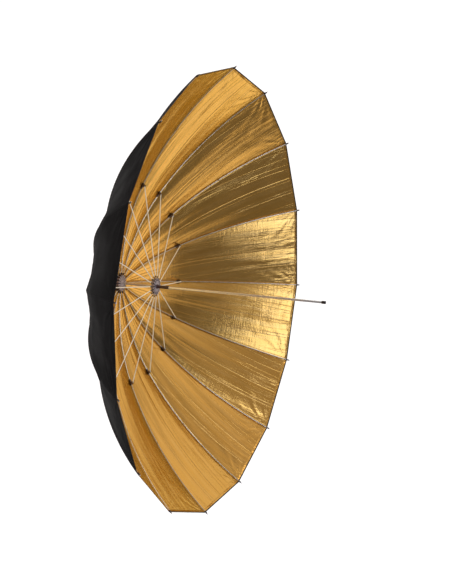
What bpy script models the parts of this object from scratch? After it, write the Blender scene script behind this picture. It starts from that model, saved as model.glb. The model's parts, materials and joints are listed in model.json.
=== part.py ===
"""Sixteen-rib folding umbrella reflector for studio lights.

The shaft lies along Y. Its free end is the origin, the crown is towards +Y, and the bowl opens
towards -Y. A rib and its stretcher work in one plane that holds the shaft, so each is drawn once in
that plane, with local X away from the shaft, local Y along it and local Z across the plane, and is
then turned about the shaft to its place.
"""

import math

import bmesh
import bpy
from mathutils import Matrix, Vector

MM = 0.001
GAP = 0.3 * MM

# Driving dimensions. A point in the rib plane is (distance from the shaft, y).
RIB_COUNT = 16
RIB_PHASE = math.radians(9.25)
RIM_Y = 0.377
HINGE_RADIUS = 0.0225
CROWN_HINGE = Vector((HINGE_RADIUS, RIM_Y + 0.3745))
RUNNER_HINGE = Vector((HINGE_RADIUS, RIM_Y + 0.2405))
RIB_JOINT = Vector((0.3434, RIM_Y + 0.3134))
RIB_TIP = Vector((0.750, RIM_Y))
JOINT_FALL = math.radians(24.8)
PIVOT_DEPTH = 7.0 * MM

ROD_RADIUS = 1.75 * MM
ROD_SIDES = 6
SOCKET_RADIUS = 2.4 * MM
SOCKET_START = 8.0 * MM
SOCKET_END = 24.0 * MM
ROD_BREAK = 1.0 * MM
TIP_CAP_RADIUS = 2.6 * MM
TIP_CAP_LENGTH = 10.0 * MM
TIP_PIN_RADIUS = 1.4 * MM
TIP_LENGTH = 11.0 * MM
SHOULDER = 0.2 * MM
STRETCHER_RADIUS = 1.6 * MM

TAB_THICKNESS = 2.4 * MM
TAB_LENGTH = 12.0 * MM
EYE_RADIUS = 3.8 * MM
OUTER_EYE_RADIUS = 2.8 * MM
EYE_HOLE = 1.45 * MM
EYE_SIDES = 8
PIN_RADIUS = 1.0 * MM

BRACKET_WIDTH = 6.2 * MM
BRACKET_SLOT = 4.3 * MM
BRACKET_TOP = 2.2 * MM
BRACKET_BACK = -14.0 * MM
BRACKET_FRONT = 7.0 * MM
BRACKET_TOE = 2.0 * MM

SHAFT_RADIUS = 4.0 * MM
SHAFT_BORE = 3.2 * MM
SHAFT_SIDES = 16
SHAFT_FOOT = 3.0 * MM
SHAFT_TOP = 0.7725
SLIDE_BORE = SHAFT_RADIUS + GAP

RING_RADIUS = 28.0 * MM
RING_HALF = 4.5 * MM
RING_STEPS = 2 * RIB_COUNT
SLOT_WIDTH = 3.2 * MM
SLOT_FLOOR = 17.5 * MM
WIRE_RADIUS = 0.9 * MM
GROOVE_HALF = 1.25 * MM
BOSS_RADIUS = 9.0 * MM
BOSS_RISE = 8.5 * MM
SLEEVE_LENGTH = 50.0 * MM
NECK_RADIUS = 5.4 * MM
GRIP_RADIUS = 5.7 * MM
GRIP_LENGTH = 27.0 * MM
FLANGE_RADIUS = 8.0 * MM
RUNNER_BORE = 5.75 * MM

CATCH_PIVOT_Y = 0.533
CATCH_THICKNESS = 1.2 * MM
CATCH_PIN_RADIUS = 0.7 * MM
CATCH_PIN_HOLE = 1.0 * MM
CATCH_LENGTH = 33.5 * MM
CATCH_STAND = 7.0 * MM

SKIN_HOLE = 4.8 * MM
SKIN_INSIDE = 3.6 * MM
SKIN_THICKNESS = 1.2 * MM
GORE_DIP = 8.0 * MM
WASHER_RADIUS = 22.0 * MM
WASHER_THICKNESS = 1.5 * MM
INNER_STEPS = 8
OUTER_STEPS = 8

COLOURS = {
    "chrome": ((0.72, 0.72, 0.74), 0.18, 1.0),
    "black_plastic": ((0.03, 0.028, 0.03), 0.45, 0.0),
    "grey_metal": ((0.36, 0.33, 0.36), 0.35, 0.9),
    "steel_wire": ((0.62, 0.62, 0.62), 0.3, 1.0),
    "pale_fibreglass": ((0.78, 0.74, 0.64), 0.4, 0.0),
    "black_nylon": ((0.022, 0.02, 0.022), 0.6, 0.0),
}


def clear_scene():
    for obj in list(bpy.data.objects):
        bpy.data.objects.remove(obj)


def material(name):
    found = bpy.data.materials.get(name)
    if found:
        return found
    made = bpy.data.materials.new(name)
    made.use_nodes = True
    colour, roughness, metallic = COLOURS[name]
    shader = made.node_tree.nodes["Principled BSDF"]
    shader.inputs["Base Color"].default_value = (*colour, 1)
    shader.inputs["Roughness"].default_value = roughness
    shader.inputs["Metallic"].default_value = metallic
    return made


def mesh_of(bm, name):
    bmesh.ops.remove_doubles(bm, verts=bm.verts, dist=1e-7)
    bmesh.ops.recalc_face_normals(bm, faces=bm.faces)
    mesh = bpy.data.meshes.new(name)
    bm.to_mesh(mesh)
    bm.free()
    return mesh


def add_object(name, mesh, colour, matrix=Matrix.Identity(4)):
    """Links an object of this mesh, shaded smooth, with its material."""
    obj = bpy.data.objects.new(name, mesh)
    obj.matrix_world = matrix
    bpy.context.scene.collection.objects.link(obj)
    if not mesh.materials:
        mesh.materials.append(material(colour))
        mesh.shade_smooth()
        mesh.set_sharp_from_angle(angle=math.radians(35))
    return obj


def add_cutter(name, mesh):
    cutter = bpy.data.objects.new(name, mesh)
    bpy.context.scene.collection.objects.link(cutter)
    cutter.hide_render = True
    cutter.display_type = "WIRE"
    return cutter


def cut(obj, cutter):
    modifier = obj.modifiers.new(cutter.name, "BOOLEAN")
    modifier.operation = "DIFFERENCE"
    modifier.object = cutter


def union_of(name, meshes, minus=()):
    """One mesh from overlapping solids, less the solids in minus."""
    first = bpy.data.objects.new(name, meshes[0])
    others = [bpy.data.objects.new(name, mesh) for mesh in [*meshes[1:], *minus]]
    for obj in [first, *others]:
        bpy.context.scene.collection.objects.link(obj)
    for index, other in enumerate(others):
        modifier = first.modifiers.new("join", "BOOLEAN")
        modifier.operation = "UNION" if index < len(meshes) - 1 else "DIFFERENCE"
        modifier.object = other
    graph = bpy.context.evaluated_depsgraph_get()
    mesh = bpy.data.meshes.new_from_object(first.evaluated_get(graph))
    mesh.name = name
    for obj in [first, *others]:
        bpy.data.objects.remove(obj)
    return mesh


def turned(name, outline, steps, phase=0.0):
    """A solid of revolution about Y. The outline is a closed loop of (radius, y) points."""
    bm = bmesh.new()
    rings = []
    for step in range(steps):
        angle = phase + 2 * math.pi * step / steps
        rings.append(
            [bm.verts.new((r * math.sin(angle), y, r * math.cos(angle))) for r, y in outline]
        )
    for ring, after in zip(rings, rings[1:] + rings[:1]):
        for k in range(len(outline)):
            j = (k + 1) % len(outline)
            if outline[k][0] > 0 or outline[j][0] > 0:
                bm.faces.new((ring[k], ring[j], after[j], after[k]))
    bmesh.ops.remove_doubles(bm, verts=bm.verts, dist=1e-7)
    bmesh.ops.dissolve_degenerate(bm, edges=bm.edges, dist=1e-7)
    return mesh_of(bm, name)


def plate(name, outline, thickness):
    """A flat plate across local Z, with the (x, y) outline as its edge."""
    bm = bmesh.new()
    edge = [bm.verts.new((x, y, -thickness / 2)) for x, y in outline]
    face = bm.faces.new(edge)
    grown = bmesh.ops.extrude_face_region(bm, geom=[face])["geom"]
    moved = [v for v in grown if isinstance(v, bmesh.types.BMVert)]
    bmesh.ops.translate(bm, verts=moved, vec=(0, 0, thickness))
    return mesh_of(bm, name)


def cylinder(name, centre, radius, depth, sides, axis="Z"):
    bm = bmesh.new()
    turn = Matrix.Rotation(math.pi / 2, 4, "Y") if axis == "X" else Matrix.Identity(4)
    bmesh.ops.create_cone(
        bm,
        cap_ends=True,
        segments=sides,
        radius1=radius,
        radius2=radius,
        depth=depth,
        matrix=Matrix.Translation(centre) @ turn,
    )
    return mesh_of(bm, name)


def box(name, low, high):
    bm = bmesh.new()
    low, high = Vector(low), Vector(high)
    bmesh.ops.create_cube(
        bm, matrix=Matrix.Translation((low + high) / 2) @ Matrix.Diagonal((*(high - low), 1))
    )
    return mesh_of(bm, name)


def arc(start, end, turn, steps):
    """(point, fall) pairs along a circular arc whose fall, its angle below level, grows by turn."""
    chord = end - start
    fall = math.atan2(-chord.y, chord.x)
    along = Vector((math.cos(fall), -math.sin(fall)))
    outward = Vector((math.sin(fall), math.cos(fall)))
    radius = chord.length / (2 * math.sin(turn / 2))
    pairs = []
    for step in range(steps + 1):
        t = turn * (step / steps - 0.5)
        reach = chord.length / 2 + radius * math.sin(t)
        rise = radius * (math.cos(t) - math.cos(turn / 2))
        pairs.append((start + along * reach + outward * rise, fall + t))
    return pairs


def chord_fall(start, end):
    return math.atan2(start.y - end.y, end.x - start.x)


INNER_TURN = 2 * (JOINT_FALL - chord_fall(CROWN_HINGE, RIB_JOINT))
OUTER_TURN = 2 * (chord_fall(RIB_JOINT, RIB_TIP) - JOINT_FALL)
INNER_ARC = arc(CROWN_HINGE, RIB_JOINT, INNER_TURN, INNER_STEPS)
OUTER_ARC = arc(RIB_JOINT, RIB_TIP, OUTER_TURN, OUTER_STEPS)
STRETCHER_PIVOT = RIB_JOINT - PIVOT_DEPTH * Vector((math.sin(JOINT_FALL), math.cos(JOINT_FALL)))


def point_along(pairs, distance):
    """(point, fall) at a distance along the straight pieces between the arc's points."""
    for (a, fall_a), (b, fall_b) in zip(pairs, pairs[1:]):
        piece = (b - a).length
        if distance <= piece:
            share = distance / piece
            return a.lerp(b, share), fall_a + (fall_b - fall_a) * share
        distance -= piece
    a, fall = pairs[-1]
    return a + distance * Vector((math.cos(fall), -math.sin(fall))), fall


def rod(name, pairs, sections, sides):
    """A round rod along the arc. Each section is (distance along, radius)."""
    bm = bmesh.new()
    rings = []
    for distance, radius in sections:
        point, fall = point_along(pairs, distance)
        outward = Vector((math.sin(fall), math.cos(fall), 0))
        ring = []
        for side in range(sides):
            angle = 2 * math.pi * side / sides
            spread = outward * math.cos(angle) + Vector((0, 0, math.sin(angle)))
            ring.append(bm.verts.new(point.to_3d() + radius * spread))
        rings.append(ring)
    for ring, after in zip(rings, rings[1:]):
        for k in range(sides):
            j = (k + 1) % sides
            bm.faces.new((ring[k], ring[j], after[j], after[k]))
    bm.faces.new(rings[0])
    bm.faces.new(rings[-1])
    return mesh_of(bm, name)


def rod_stations(pairs, start, end):
    """Distances of the arc's own points that lie between start and end."""
    found = [0.0]
    for (a, _), (b, _) in zip(pairs, pairs[1:]):
        found.append(found[-1] + (b - a).length)
    return [d for d in found if start < d < end]


def arc_length(pairs):
    return sum((b - a).length for (a, _), (b, _) in zip(pairs, pairs[1:]))


def eye_tab(name, centre, direction, eye_radius):
    """A rounded tab whose eye is on centre, reaching TAB_LENGTH along direction."""
    side = Vector((-direction.y, direction.x))
    outline = []
    for step in range(EYE_SIDES // 2 + 1):
        angle = math.pi / 2 + math.pi * step / (EYE_SIDES // 2)
        outline.append(centre + eye_radius * (direction * math.cos(angle) + side * math.sin(angle)))
    half = STRETCHER_RADIUS * 0.9
    outline.append(centre + direction * eye_radius - side * eye_radius * 0.8)
    outline.append(centre + direction * TAB_LENGTH - side * half)
    outline.append(centre + direction * TAB_LENGTH + side * half)
    outline.append(centre + direction * eye_radius + side * eye_radius * 0.8)
    return plate(name, outline, TAB_THICKNESS)


def eye_hole(name, centre):
    return cylinder(name, centre.to_3d(), EYE_HOLE, 4 * TAB_THICKNESS, 8)


def bracket_frame():
    """Origin on the rib's joint, X along the rib towards its tip, Y out towards the skin."""
    turn = Matrix.Rotation(-JOINT_FALL, 4, "Z")
    return Matrix.Translation(RIB_JOINT.to_3d()) @ turn


def bracket_solids():
    """The channel that holds the rib's two lengths and carries the stretcher's pin."""
    top, foot = BRACKET_TOP, -(PIVOT_DEPTH + 3.0 * MM)
    ankle = 1.7 * BRACKET_TOE
    outline = [
        (BRACKET_BACK, top),
        (BRACKET_FRONT, top),
        (BRACKET_FRONT, -1.5 * MM),
        (ankle, -PIVOT_DEPTH),
        (BRACKET_TOE, foot),
        (-BRACKET_TOE, foot),
        (-ankle, -PIVOT_DEPTH),
        (-9 * MM, -2.5 * MM),
        (BRACKET_BACK, -2.5 * MM),
    ]
    body = plate("bracket", outline, BRACKET_WIDTH)
    # The stretcher swings in the slot's long foot, and the rib's outer length in its tall front.
    back, front, step = BRACKET_BACK - 2 * MM, BRACKET_FRONT + 2 * MM, -5 * MM
    slot = [
        (back, foot - MM),
        (front, foot - MM),
        (front, top + MM),
        (step, top + MM),
        (step, -2 * MM),
        (back, -2 * MM),
    ]
    pin = cylinder("pin", (0, -PIVOT_DEPTH, 0), PIN_RADIUS, BRACKET_WIDTH - 0.4 * MM, 6)
    channel = union_of("channel", [body], minus=[plate("slot", slot, BRACKET_SLOT)])
    for mesh in (channel, pin):
        mesh.transform(bracket_frame())
    return channel, pin


def rib_inner_mesh():
    end = arc_length(INNER_ARC) - ROD_BREAK
    sections = [(SOCKET_START, SOCKET_RADIUS), (SOCKET_END, SOCKET_RADIUS)]
    sections.append((SOCKET_END + SHOULDER, ROD_RADIUS))
    sections += [(d, ROD_RADIUS) for d in rod_stations(INNER_ARC, SOCKET_END + SHOULDER, end)]
    sections.append((end, ROD_RADIUS))
    fall = INNER_ARC[0][1]
    tab = eye_tab("tab", CROWN_HINGE, Vector((math.cos(fall), -math.sin(fall))), EYE_RADIUS)
    channel, pin = bracket_solids()
    length = rod("length", INNER_ARC, sections, ROD_SIDES)
    solids = [length, tab, channel, pin]
    return union_of("rib_inner", solids, minus=[eye_hole("eye", CROWN_HINGE)])


def rib_outer_mesh():
    length = arc_length(OUTER_ARC)
    cap = length - 0.4 * TIP_CAP_LENGTH
    sections = [(ROD_BREAK, ROD_RADIUS)]
    sections += [(d, ROD_RADIUS) for d in rod_stations(OUTER_ARC, ROD_BREAK, cap)]
    sections += [
        (cap, ROD_RADIUS),
        (cap + SHOULDER, TIP_CAP_RADIUS),
        (cap + TIP_CAP_LENGTH, TIP_CAP_RADIUS),
        (cap + TIP_CAP_LENGTH + SHOULDER, TIP_PIN_RADIUS),
        (length + TIP_LENGTH - MM, TIP_PIN_RADIUS),
        (length + TIP_LENGTH, 0.6 * TIP_PIN_RADIUS),
    ]
    return rod("rib_outer", OUTER_ARC, sections, ROD_SIDES)


def stretcher_mesh():
    """From its pivot in the bracket to the runner's wire, straight."""
    reach = RUNNER_HINGE - STRETCHER_PIVOT
    direction = reach.normalized()
    inset = TAB_LENGTH / 2
    fall = math.atan2(-direction.y, direction.x)
    line = [(STRETCHER_PIVOT, fall), (RUNNER_HINGE, fall)]
    sections = [(inset, STRETCHER_RADIUS), (reach.length - inset, STRETCHER_RADIUS)]
    arm = rod("arm", line, sections, ROD_SIDES)
    outer_tab = eye_tab("outer_tab", STRETCHER_PIVOT, direction, OUTER_EYE_RADIUS)
    inner_tab = eye_tab("inner_tab", RUNNER_HINGE, -direction, EYE_RADIUS)
    holes = [eye_hole("eye", STRETCHER_PIVOT), eye_hole("eye", RUNNER_HINGE)]
    return union_of("stretcher", [arm, outer_tab, inner_tab], minus=holes)


def rib_place(number):
    """Turns the rib plane about the shaft to this rib's place, counted from +Z towards +X."""
    angle = RIB_PHASE + 2 * math.pi * number / RIB_COUNT
    return Matrix.Rotation(angle - math.pi / 2, 4, "Y")


def ribs_and_stretchers():
    """Each piece's origin is on its own hinge, and it hangs from the piece it turns on."""
    pieces = (
        ("rib_inner", rib_inner_mesh(), CROWN_HINGE, "pale_fibreglass", None),
        ("rib_outer", rib_outer_mesh(), RIB_JOINT, "pale_fibreglass", "rib_inner"),
        ("stretcher", stretcher_mesh(), STRETCHER_PIVOT, "steel_wire", "rib_inner"),
    )
    for _, mesh, hinge, _, _ in pieces:
        mesh.transform(Matrix.Translation(-hinge.to_3d()))
    for number in range(RIB_COUNT):
        made = {}
        for kind, mesh, hinge, colour, holder in pieces:
            place = rib_place(number) @ Matrix.Translation(hinge.to_3d())
            obj = add_object(f"{kind}_{number + 1:02d}", mesh, colour, place)
            if holder:
                obj.parent = made[holder]
                obj.matrix_parent_inverse = made[holder].matrix_world.inverted()
            made[kind] = obj
            bpy.context.view_layer.update()


def wire_ring(name, y):
    bm = bmesh.new()
    steps, sides = 2 * RIB_COUNT, 6
    rings = []
    for step in range(steps):
        angle = RIB_PHASE + 2 * math.pi * step / steps
        out = Vector((math.sin(angle), 0, math.cos(angle)))
        ring = []
        for side in range(sides):
            turn = 2 * math.pi * side / sides
            spread = out * math.cos(turn) + Vector((0, math.sin(turn), 0))
            ring.append(bm.verts.new(out * HINGE_RADIUS + Vector((0, y, 0)) + WIRE_RADIUS * spread))
        rings.append(ring)
    for ring, after in zip(rings, rings[1:] + rings[:1]):
        for k in range(sides):
            j = (k + 1) % sides
            bm.faces.new((ring[k], ring[j], after[j], after[k]))
    add_object(name, mesh_of(bm, name), "steel_wire")


def slot_cutter(name, y):
    """Sixteen blocks, one for the slot of each rib or stretcher."""
    bm = bmesh.new()
    length = 1.2 * RING_RADIUS - SLOT_FLOOR
    for number in range(RIB_COUNT):
        centre = Vector((SLOT_FLOOR + length / 2, y, 0))
        size = Matrix.Diagonal((length, 4 * RING_HALF, SLOT_WIDTH, 1))
        bmesh.ops.create_cube(bm, matrix=rib_place(number) @ Matrix.Translation(centre) @ size)
    return add_cutter(name, mesh_of(bm, name))


def crown():
    y = CROWN_HINGE.y
    boss_top = y + BOSS_RISE
    groove_in, groove_out = HINGE_RADIUS - GROOVE_HALF, HINGE_RADIUS + GROOVE_HALF
    outline = [
        (SLIDE_BORE, y - RING_HALF),
        (RING_RADIUS, y - RING_HALF),
        (RING_RADIUS, y + RING_HALF),
        (groove_out, y + RING_HALF),
        (groove_out, y - GROOVE_HALF),
        (groove_in, y - GROOVE_HALF),
        (groove_in, y + RING_HALF),
        (BOSS_RADIUS, y + RING_HALF),
        (BOSS_RADIUS, boss_top),
        (SLIDE_BORE, boss_top),
    ]
    ring = turned("crown_ring", outline, RING_STEPS, RIB_PHASE)
    cut(add_object("crown_ring", ring, "grey_metal"), slot_cutter("crown_slots", y))
    wire_ring("crown_wire", y)


def runner():
    y = RUNNER_HINGE.y
    seat = RING_HALF + GAP
    groove_in, groove_out = HINGE_RADIUS - GROOVE_HALF, HINGE_RADIUS + GROOVE_HALF
    outline = [
        (RUNNER_BORE, y - RING_HALF),
        (groove_in, y - RING_HALF),
        (groove_in, y + GROOVE_HALF),
        (groove_out, y + GROOVE_HALF),
        (groove_out, y - RING_HALF),
        (RING_RADIUS, y - RING_HALF),
        (RING_RADIUS, y + RING_HALF),
        (RUNNER_BORE, y + RING_HALF),
    ]
    ring = turned("runner_ring", outline, RING_STEPS, RIB_PHASE)
    cut(add_object("runner_ring", ring, "grey_metal"), slot_cutter("runner_slots", y))
    wire_ring("runner_wire", y)
    foot, grip_top, flange_half = y - SLEEVE_LENGTH, y - SLEEVE_LENGTH + GRIP_LENGTH, 7 * MM
    sleeve = [
        (SLIDE_BORE, foot),
        (GRIP_RADIUS - 0.4 * MM, foot),
        (GRIP_RADIUS, foot + MM),
        (GRIP_RADIUS, grip_top),
        (NECK_RADIUS, grip_top + 2 * MM),
        (NECK_RADIUS, y - flange_half - MM),
        (FLANGE_RADIUS, y - flange_half),
        (FLANGE_RADIUS, y - seat),
        (NECK_RADIUS, y - seat),
        (NECK_RADIUS, y + seat),
        (FLANGE_RADIUS, y + seat),
        (FLANGE_RADIUS, y + flange_half),
        (SLIDE_BORE, y + flange_half),
    ]
    sleeve_mesh = turned("runner_sleeve", sleeve, SHAFT_SIDES)
    add_object("runner_sleeve", sleeve_mesh, "black_plastic")


def shaft():
    """The tube, with the catch's slot on its lower side and the holes of the catch's pin."""
    outline = [
        (SHAFT_BORE, SHAFT_FOOT),
        (SHAFT_RADIUS, SHAFT_FOOT),
        (SHAFT_RADIUS, SHAFT_TOP),
        (SHAFT_BORE, SHAFT_TOP),
    ]
    tube = add_object("shaft_tube", turned("shaft_tube", outline, SHAFT_SIDES), "chrome")
    half = CATCH_THICKNESS / 2 + 0.35 * MM
    slot = box(
        "catch_slot",
        (-half, CATCH_PIVOT_Y + 5.5 * MM, -5 * MM),
        (half, CATCH_PIVOT_Y + CATCH_LENGTH + 3 * MM, -2 * MM),
    )
    cut(tube, add_cutter("catch_slot", slot))
    hole = cylinder("pin_hole", (0, CATCH_PIVOT_Y, 0), CATCH_PIN_HOLE, 12 * MM, 8, "X")
    cut(tube, add_cutter("pin_hole", hole))


def shaft_end_cap():
    plug, lip = SHAFT_BORE - GAP, SHAFT_RADIUS + 1.0 * MM
    outline = [
        (0, 0),
        (lip - 0.6 * MM, 0),
        (lip, 0.6 * MM),
        (lip, 14 * MM),
        (SLIDE_BORE, 14 * MM),
        (SLIDE_BORE, 2.7 * MM),
        (plug, 2.7 * MM),
        (plug, 9 * MM),
        (0, 9 * MM),
    ]
    cap = turned("shaft_end_cap", outline, SHAFT_SIDES)
    add_object("shaft_end_cap", cap, "black_plastic")


def catch():
    """A flat sprung finger. It stands out of the shaft's slot just below the runner."""
    outline = [
        (-2.5 * MM, -1.6 * MM),
        (2.5 * MM, -1.6 * MM),
        (CATCH_LENGTH, 1.0 * MM),
        (CATCH_LENGTH, CATCH_STAND),
        (2.5 * MM, 2.2 * MM),
        (-2.5 * MM, 1.6 * MM),
    ]
    finger = plate("finger", outline, CATCH_THICKNESS)
    hole = cylinder("hole", (0, 0, 0), CATCH_PIN_HOLE, 4 * CATCH_THICKNESS, 8)
    mesh = union_of("spring_catch", [finger], minus=[hole])
    # Local x runs along the shaft and local y towards its lower side.
    turn = Matrix(((0, 0, 1, 0), (1, 0, 0, 0), (0, -1, 0, 0), (0, 0, 0, 1)))
    mesh.transform(turn)
    mesh.flip_normals()
    place = Matrix.Translation((0, CATCH_PIVOT_Y, 0))
    add_object("spring_catch", mesh, "steel_wire", place)
    pin_length = 2 * (SHAFT_RADIUS - 0.1 * MM)
    pin = cylinder("catch_pin", (0, 0, 0), CATCH_PIN_RADIUS, pin_length, 8, "X")
    add_object("catch_pin", pin, "steel_wire", place)


def skin_stations():
    """Inner-face points and falls of the skin over a rib, from the crown's hole to the rim."""
    crown_level = CROWN_HINGE.y + BOSS_RISE + 0.8 * MM - SKIN_INSIDE
    flat = [(SKIN_HOLE, crown_level), (1.15 * RING_RADIUS, crown_level + GAP)]
    stations = [(Vector(point), 0.0) for point in flat]
    return stations + INNER_ARC[1:] + OUTER_ARC[1:]


def canopy():
    """A thin closed shell: straight from rib to rib at the rim, pulled in a little further up."""
    columns = 2 * RIB_COUNT
    bm = bmesh.new()
    faces_of = {}
    for offset in (SKIN_INSIDE, SKIN_INSIDE + SKIN_THICKNESS):
        rings = []
        for point, fall in skin_stations():
            outward = Vector((math.sin(fall), math.cos(fall)))
            ring = []
            for column in range(columns):
                spot = point + offset * outward
                if column % 2:
                    share = min(1.0, point.x / RIB_TIP.x)
                    spot = spot - 4 * GORE_DIP * share * (1 - share) * outward
                    spot.x *= math.cos(math.pi / RIB_COUNT)
                angle = RIB_PHASE + 2 * math.pi * column / columns
                place = (spot.x * math.sin(angle), spot.y, spot.x * math.cos(angle))
                ring.append(bm.verts.new(place))
            rings.append(ring)
        faces_of[offset] = rings
        for ring, after in zip(rings, rings[1:]):
            for k in range(columns):
                j = (k + 1) % columns
                bm.faces.new((ring[k], ring[j], after[j], after[k]))
    inside, outside = faces_of.values()
    for edge in (0, -1):
        for k in range(columns):
            j = (k + 1) % columns
            bm.faces.new((inside[edge][k], inside[edge][j], outside[edge][j], outside[edge][k]))
    bmesh.ops.triangulate(bm, faces=bm.faces)
    add_object("canopy", mesh_of(bm, "canopy"), "black_nylon")


def crown_cover():
    """The washer and cap that clamp the skin on the crown, outside the bowl."""
    seat = CROWN_HINGE.y + BOSS_RISE + 2.3 * MM
    washer_top = seat + WASHER_THICKNESS
    edge = WASHER_RADIUS
    washer = [(SKIN_HOLE, seat), (edge, seat), (edge, washer_top), (SKIN_HOLE, washer_top)]
    mesh = turned("crown_washer", washer, RING_STEPS)
    add_object("crown_washer", mesh, "black_plastic")
    foot = washer_top + GAP
    cap = [
        (SLIDE_BORE, foot),
        (9 * MM, foot),
        (9 * MM, foot + 6 * MM),
        (7.6 * MM, foot + 10.5 * MM),
        (4.2 * MM, foot + 13.5 * MM),
        (0, foot + 14.5 * MM),
        (0, SHAFT_TOP + GAP),
        (SLIDE_BORE, SHAFT_TOP + GAP),
    ]
    add_object("top_cap", turned("top_cap", cap, SHAFT_SIDES), "black_plastic")


def main():
    clear_scene()
    shaft()
    shaft_end_cap()
    catch()
    crown()
    runner()
    ribs_and_stretchers()
    canopy()
    crown_cover()


main()
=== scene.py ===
"""Looks of the sixteen-rib umbrella reflector: sewn canopy, sprung rods, fittings, light and camera.

Everything is in metres in the part's own frame: the shaft lies along Y, the crown is towards +Y and
the bowl opens towards -Y. A rib's plane holds the shaft; a point in it is (distance from shaft, y).
"""

import json
import math

import bpy
import numpy as np
from mathutils import Matrix, Vector

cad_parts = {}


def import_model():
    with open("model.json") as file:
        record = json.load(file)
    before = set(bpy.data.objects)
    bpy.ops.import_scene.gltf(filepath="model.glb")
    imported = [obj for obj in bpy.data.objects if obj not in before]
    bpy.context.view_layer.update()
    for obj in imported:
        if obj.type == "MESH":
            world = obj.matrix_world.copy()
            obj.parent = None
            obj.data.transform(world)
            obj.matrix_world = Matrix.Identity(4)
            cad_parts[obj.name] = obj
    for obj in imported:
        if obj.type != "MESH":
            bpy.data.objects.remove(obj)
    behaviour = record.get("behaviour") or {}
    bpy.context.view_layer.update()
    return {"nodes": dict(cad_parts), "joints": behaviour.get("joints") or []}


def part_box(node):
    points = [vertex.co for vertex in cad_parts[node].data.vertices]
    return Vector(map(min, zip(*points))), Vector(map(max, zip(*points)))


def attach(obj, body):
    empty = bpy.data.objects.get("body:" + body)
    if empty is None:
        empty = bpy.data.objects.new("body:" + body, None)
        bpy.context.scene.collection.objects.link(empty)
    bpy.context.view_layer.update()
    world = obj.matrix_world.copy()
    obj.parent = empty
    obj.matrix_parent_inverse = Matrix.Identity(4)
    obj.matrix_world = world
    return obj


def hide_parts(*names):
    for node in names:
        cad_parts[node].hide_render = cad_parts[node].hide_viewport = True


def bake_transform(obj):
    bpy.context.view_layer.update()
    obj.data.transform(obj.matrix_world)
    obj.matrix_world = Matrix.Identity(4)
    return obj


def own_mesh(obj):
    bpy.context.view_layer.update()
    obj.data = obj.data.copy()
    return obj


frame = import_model()
MM = 0.001
RIBS = 16
JOINTS = {joint["name"]: joint for joint in frame["joints"]}


def pivot(name):
    """(distance from the shaft, y) of a joint's pivot."""
    x, y, z = JOINTS[name]["pos_m"]
    return np.array([math.hypot(x, z), y])


HINGE = pivot("rib_fold_01")
JOINT = pivot("rib_flex_01")
PIVOT = pivot("stretcher_fold_01")
PHASE = math.atan2(JOINTS["rib_fold_01"]["pos_m"][0], JOINTS["rib_fold_01"]["pos_m"][2])
TIP = np.array([0.750, 0.377])
CROWN_HOLE = 0.0048
RUNNER_HINGE = np.array([HINGE[0], float(sum(c.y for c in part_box("runner_wire"))) / 2])
JOINT_FALL = math.radians(24.8)
ROD_RADIUS = 1.75 * MM
SKIN_OFFSET = 3.2 * MM
SKIN_THICK = 0.7 * MM
HALF_GORE = math.sin(math.pi / RIBS)
CROWN_LEVEL = HINGE[1] + 9.2 * MM
Y_AXIS = np.array([0.0, 1.0, 0.0])


def radial(angle):
    return np.array([math.sin(angle), 0.0, math.cos(angle)])


def tangent(angle):
    return np.array([math.cos(angle), 0.0, -math.sin(angle)])


def rib_angle(number):
    return PHASE + 2 * math.pi * number / RIBS


def in_rib_plane(number, points, across=0.0):
    """World points from (distance, y) points in a rib's plane, moved across it."""
    points = np.atleast_2d(points)
    angle = rib_angle(number)
    return (
        points[:, :1] * radial(angle)
        + points[:, 1:] * Y_AXIS
        + np.broadcast_to(across, (len(points),))[:, None] * tangent(angle)
    )


def each_rib():
    """Number, two-digit tag and sideways direction of each rib."""
    for number in range(RIBS):
        yield number, f"{number + 1:02d}", tangent(rib_angle(number))


# ---------------------------------------------------------------- profiles


def chord_fall(a, b):
    """Angle below level of the line from a to b."""
    return math.atan2(a[1] - b[1], b[0] - a[0])


def arc(start, end, turn, count):
    """Points and falls (angle below level) along a circular arc."""
    chord = end - start
    length, fall = np.hypot(*chord), math.atan2(-chord[1], chord[0])
    along = np.array([math.cos(fall), -math.sin(fall)])
    out = np.array([math.sin(fall), math.cos(fall)])
    radius = length / (2 * math.sin(turn / 2))
    t = turn * (np.linspace(0, 1, count) - 0.5)
    reach = length / 2 + radius * np.sin(t)
    rise = radius * (np.cos(t) - math.cos(turn / 2))
    return start + reach[:, None] * along + rise[:, None] * out, fall + t


INNER = arc(HINGE, JOINT, 2 * (JOINT_FALL - chord_fall(HINGE, JOINT)), 60)
OUTER = arc(JOINT, TIP, 2 * (chord_fall(JOINT, TIP) - JOINT_FALL), 90)
ROD_LINE = np.vstack([INNER[0], OUTER[0][1:]])
ROD_FALL = np.concatenate([INNER[1], OUTER[1][1:]])


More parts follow.
